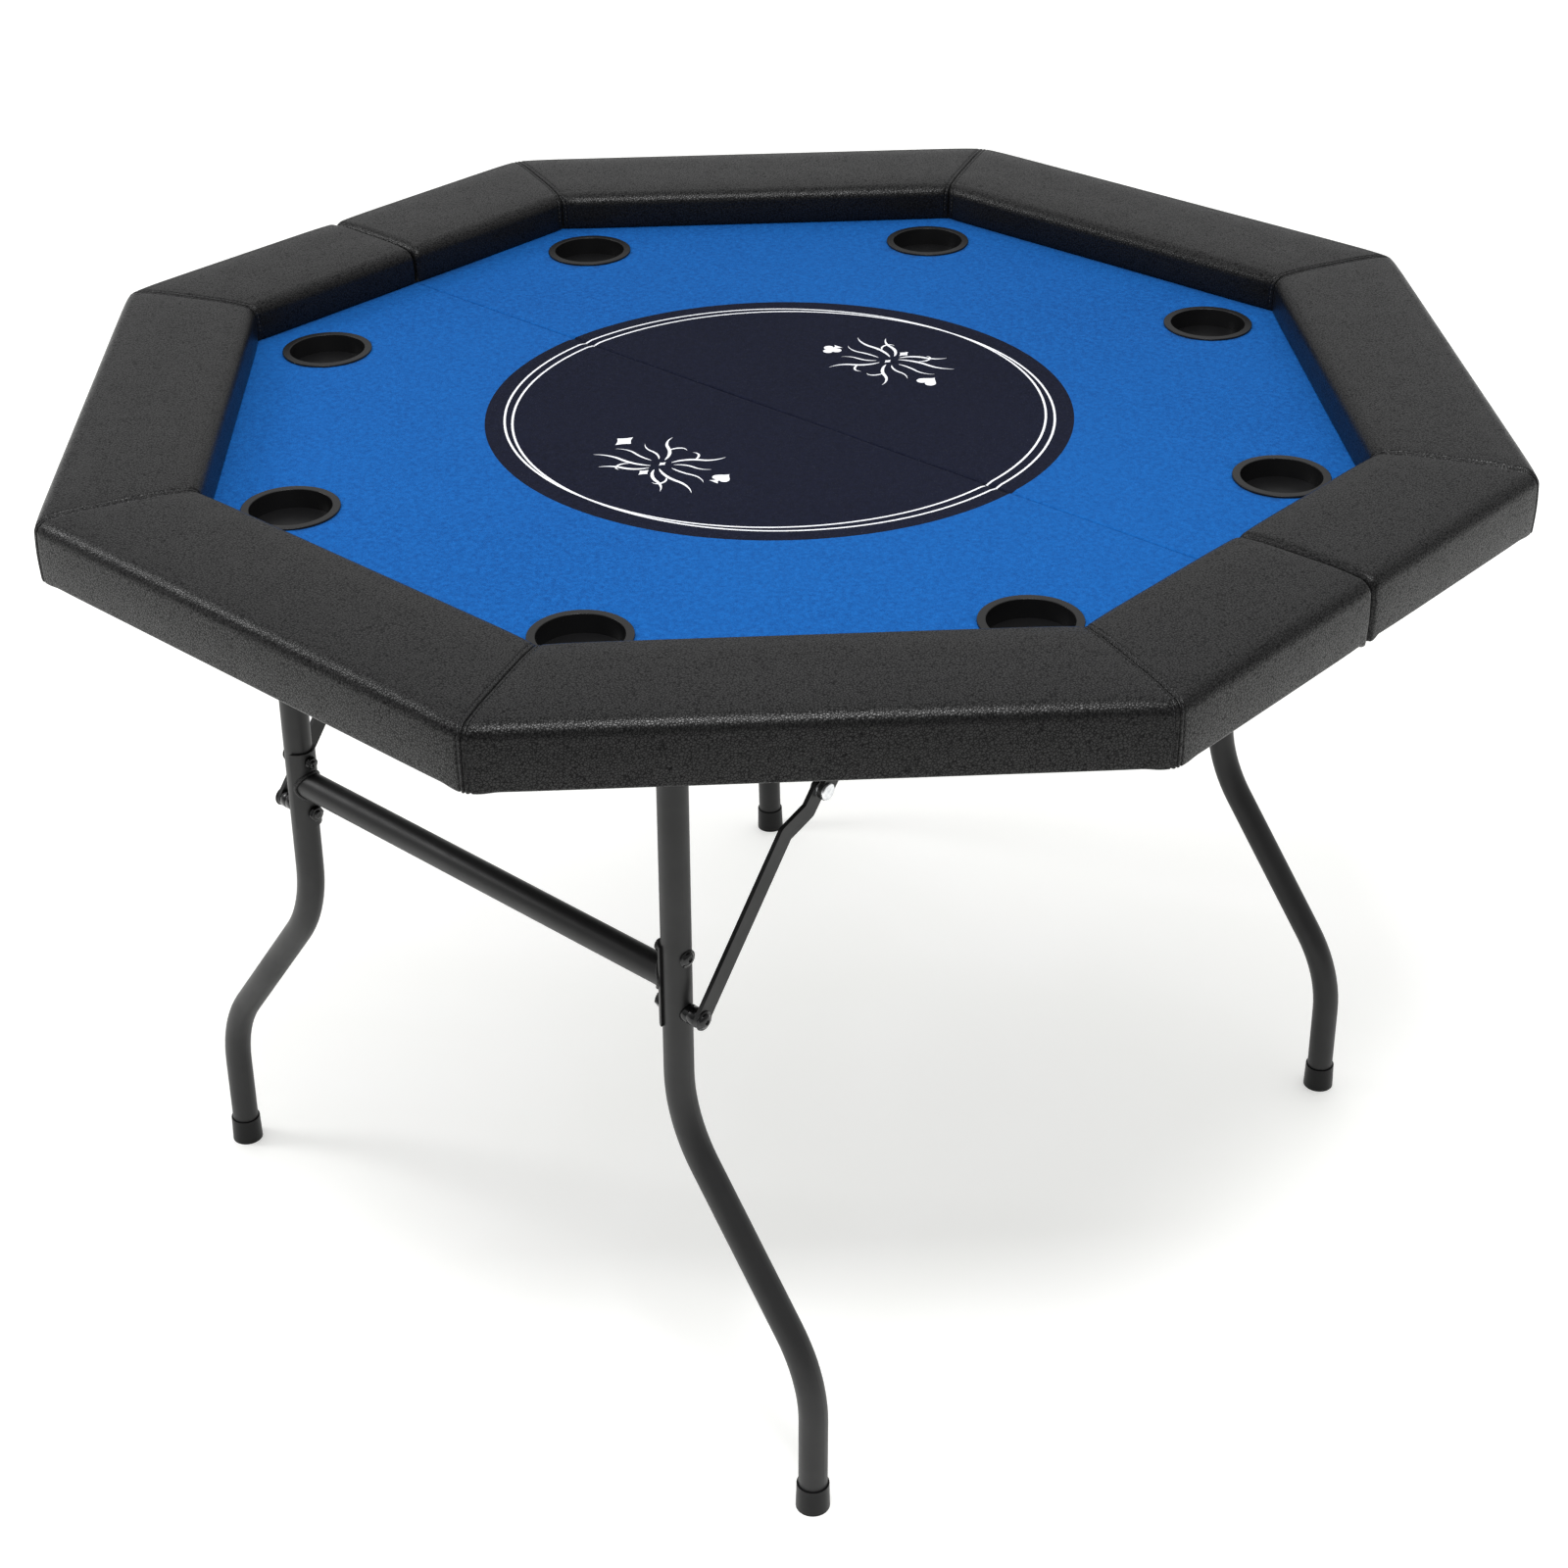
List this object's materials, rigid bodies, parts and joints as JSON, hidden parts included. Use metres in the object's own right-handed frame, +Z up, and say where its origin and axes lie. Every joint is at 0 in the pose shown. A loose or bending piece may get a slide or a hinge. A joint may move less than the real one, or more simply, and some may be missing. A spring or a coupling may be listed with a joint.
{
  "type": "folding poker table",
  "caption": "Folding octagonal card table with a padded rail, felt playing surface, drop-in cup holders and braced folding leg frames.",
  "frame": {"origin": "on the floor under the middle of the top", "axes": "+Z up, +X along the fold line between the two halves, +Y towards the rear half"},
  "size_m": [1.22, 1.22, 0.816],
  "materials": {
    "board": "painted black, matte",
    "felt": "short fibre felt, printed",
    "wood": "plain sawn",
    "leather": "pebble grain, satin",
    "cup_plastic": "moulded, satin",
    "foot_plastic": "moulded, satin",
    "black_steel": "matte powder coat",
    "black_fasteners": "black oxide, satin",
    "zinc": "zinc plated"
  },
  "bodies": {
    "tabletop": {"tabletop_board_front": "board", "tabletop_board_rear": "board", "felt_front": "felt", "felt_rear": "felt", "rail_core_front": "wood", "rail_core_rear": "wood", "rail_pad_front": "leather", "rail_pad_rear": "leather", "cup_holder_1": "cup_plastic", "cup_holder_2": "cup_plastic", "cup_holder_3": "cup_plastic", "cup_holder_4": "cup_plastic", "cup_holder_5": "cup_plastic", "cup_holder_6": "cup_plastic", "cup_holder_7": "cup_plastic", "cup_holder_8": "cup_plastic", "leg_clamp_front_left": "black_steel", "leg_clamp_front_right": "black_steel", "leg_clamp_rear_left": "black_steel", "leg_clamp_rear_right": "black_steel", "brace_bracket_front_left": "black_steel", "brace_bracket_front_right": "black_steel", "brace_bracket_rear_left": "black_steel", "brace_bracket_rear_right": "black_steel", "underside_screws": "black_fasteners", "hinge_leaves_front": "zinc", "hinge_leaves_rear": "zinc", "hinge_pins": "zinc"},
    "leg_frame_front": {"leg_front_left": "black_steel", "leg_front_right": "black_steel", "foot_cap_front_left": "foot_plastic", "foot_cap_front_right": "foot_plastic", "pivot_tube_front": "black_steel", "crossbar_front": "black_steel", "saddle_plates_front": "black_steel", "leg_bolts_front": "black_fasteners"},
    "lower_link_front_left": {"brace_lower_front_left": "black_steel", "rivet_tail_front_left": "zinc"},
    "upper_link_front_left": {"brace_upper_front_left": "black_steel", "knee_rivet_front_left": "zinc"},
    "lower_link_front_right": {"brace_lower_front_right": "black_steel", "rivet_tail_front_right": "zinc"},
    "upper_link_front_right": {"brace_upper_front_right": "black_steel", "knee_rivet_front_right": "zinc"},
    "leg_frame_rear": {"leg_rear_left": "black_steel", "leg_rear_right": "black_steel", "foot_cap_rear_left": "foot_plastic", "foot_cap_rear_right": "foot_plastic", "pivot_tube_rear": "black_steel", "crossbar_rear": "black_steel", "saddle_plates_rear": "black_steel", "leg_bolts_rear": "black_fasteners"},
    "lower_link_rear_left": {"brace_lower_rear_left": "black_steel", "rivet_tail_rear_left": "zinc"},
    "upper_link_rear_left": {"brace_upper_rear_left": "black_steel", "knee_rivet_rear_left": "zinc"},
    "lower_link_rear_right": {"brace_lower_rear_right": "black_steel", "rivet_tail_rear_right": "zinc"},
    "upper_link_rear_right": {"brace_upper_rear_right": "black_steel", "knee_rivet_rear_right": "zinc"}
  },
  "joints": [
    {"name": "leg_fold_front", "type": "hinge", "parent": "tabletop", "child": "leg_frame_front", "pos_m": [0, -0.385, 0.742], "axis": [1, 0, 0], "range_deg": [0, 90.93]},
    {"name": "lower_link_pivot_front_left", "type": "hinge", "parent": "leg_frame_front", "child": "lower_link_front_left", "pos_m": [-0.263, -0.38971, 0.45204], "axis": [1, 0, 0], "range_deg": [0, 42.71]},
    {"name": "upper_link_pivot_front_left", "type": "hinge", "parent": "tabletop", "child": "upper_link_front_left", "pos_m": [-0.27, -0.118, 0.742], "axis": [1, 0, 0], "range_deg": [-47.36, 0]},
    {"name": "lower_link_pivot_front_right", "type": "hinge", "parent": "leg_frame_front", "child": "lower_link_front_right", "pos_m": [0.263, -0.38971, 0.45204], "axis": [1, 0, 0], "range_deg": [0, 42.71]},
    {"name": "upper_link_pivot_front_right", "type": "hinge", "parent": "tabletop", "child": "upper_link_front_right", "pos_m": [0.27, -0.118, 0.742], "axis": [1, 0, 0], "range_deg": [-47.36, 0]},
    {"name": "leg_fold_rear", "type": "hinge", "parent": "tabletop", "child": "leg_frame_rear", "pos_m": [0, 0.385, 0.742], "axis": [-1, 0, 0], "range_deg": [0, 86.93]},
    {"name": "lower_link_pivot_rear_left", "type": "hinge", "parent": "leg_frame_rear", "child": "lower_link_rear_left", "pos_m": [-0.263, 0.38971, 0.45204], "axis": [-1, 0, 0], "range_deg": [0, 41.94]},
    {"name": "upper_link_pivot_rear_left", "type": "hinge", "parent": "tabletop", "child": "upper_link_rear_left", "pos_m": [-0.27, 0.118, 0.742], "axis": [-1, 0, 0], "range_deg": [-46.52, 0]},
    {"name": "lower_link_pivot_rear_right", "type": "hinge", "parent": "leg_frame_rear", "child": "lower_link_rear_right", "pos_m": [0.263, 0.38971, 0.45204], "axis": [-1, 0, 0], "range_deg": [0, 41.94]},
    {"name": "upper_link_pivot_rear_right", "type": "hinge", "parent": "tabletop", "child": "upper_link_rear_right", "pos_m": [0.27, 0.118, 0.742], "axis": [-1, 0, 0], "range_deg": [-46.52, 0]}
  ],
  "couplings": [
    {"joint": "lower_link_pivot_front_left", "follows": "leg_fold_front", "ratio": 0.46419},
    {"joint": "upper_link_pivot_front_left", "follows": "leg_fold_front", "ratio": -0.51536},
    {"joint": "lower_link_pivot_front_right", "follows": "leg_fold_front", "ratio": 0.46419},
    {"joint": "upper_link_pivot_front_right", "follows": "leg_fold_front", "ratio": -0.51536},
    {"joint": "lower_link_pivot_rear_left", "follows": "leg_fold_rear", "ratio": 0.47673},
    {"joint": "upper_link_pivot_rear_left", "follows": "leg_fold_rear", "ratio": -0.52934},
    {"joint": "lower_link_pivot_rear_right", "follows": "leg_fold_rear", "ratio": 0.47673},
    {"joint": "upper_link_pivot_rear_right", "follows": "leg_fold_rear", "ratio": -0.52934}
  ]
}
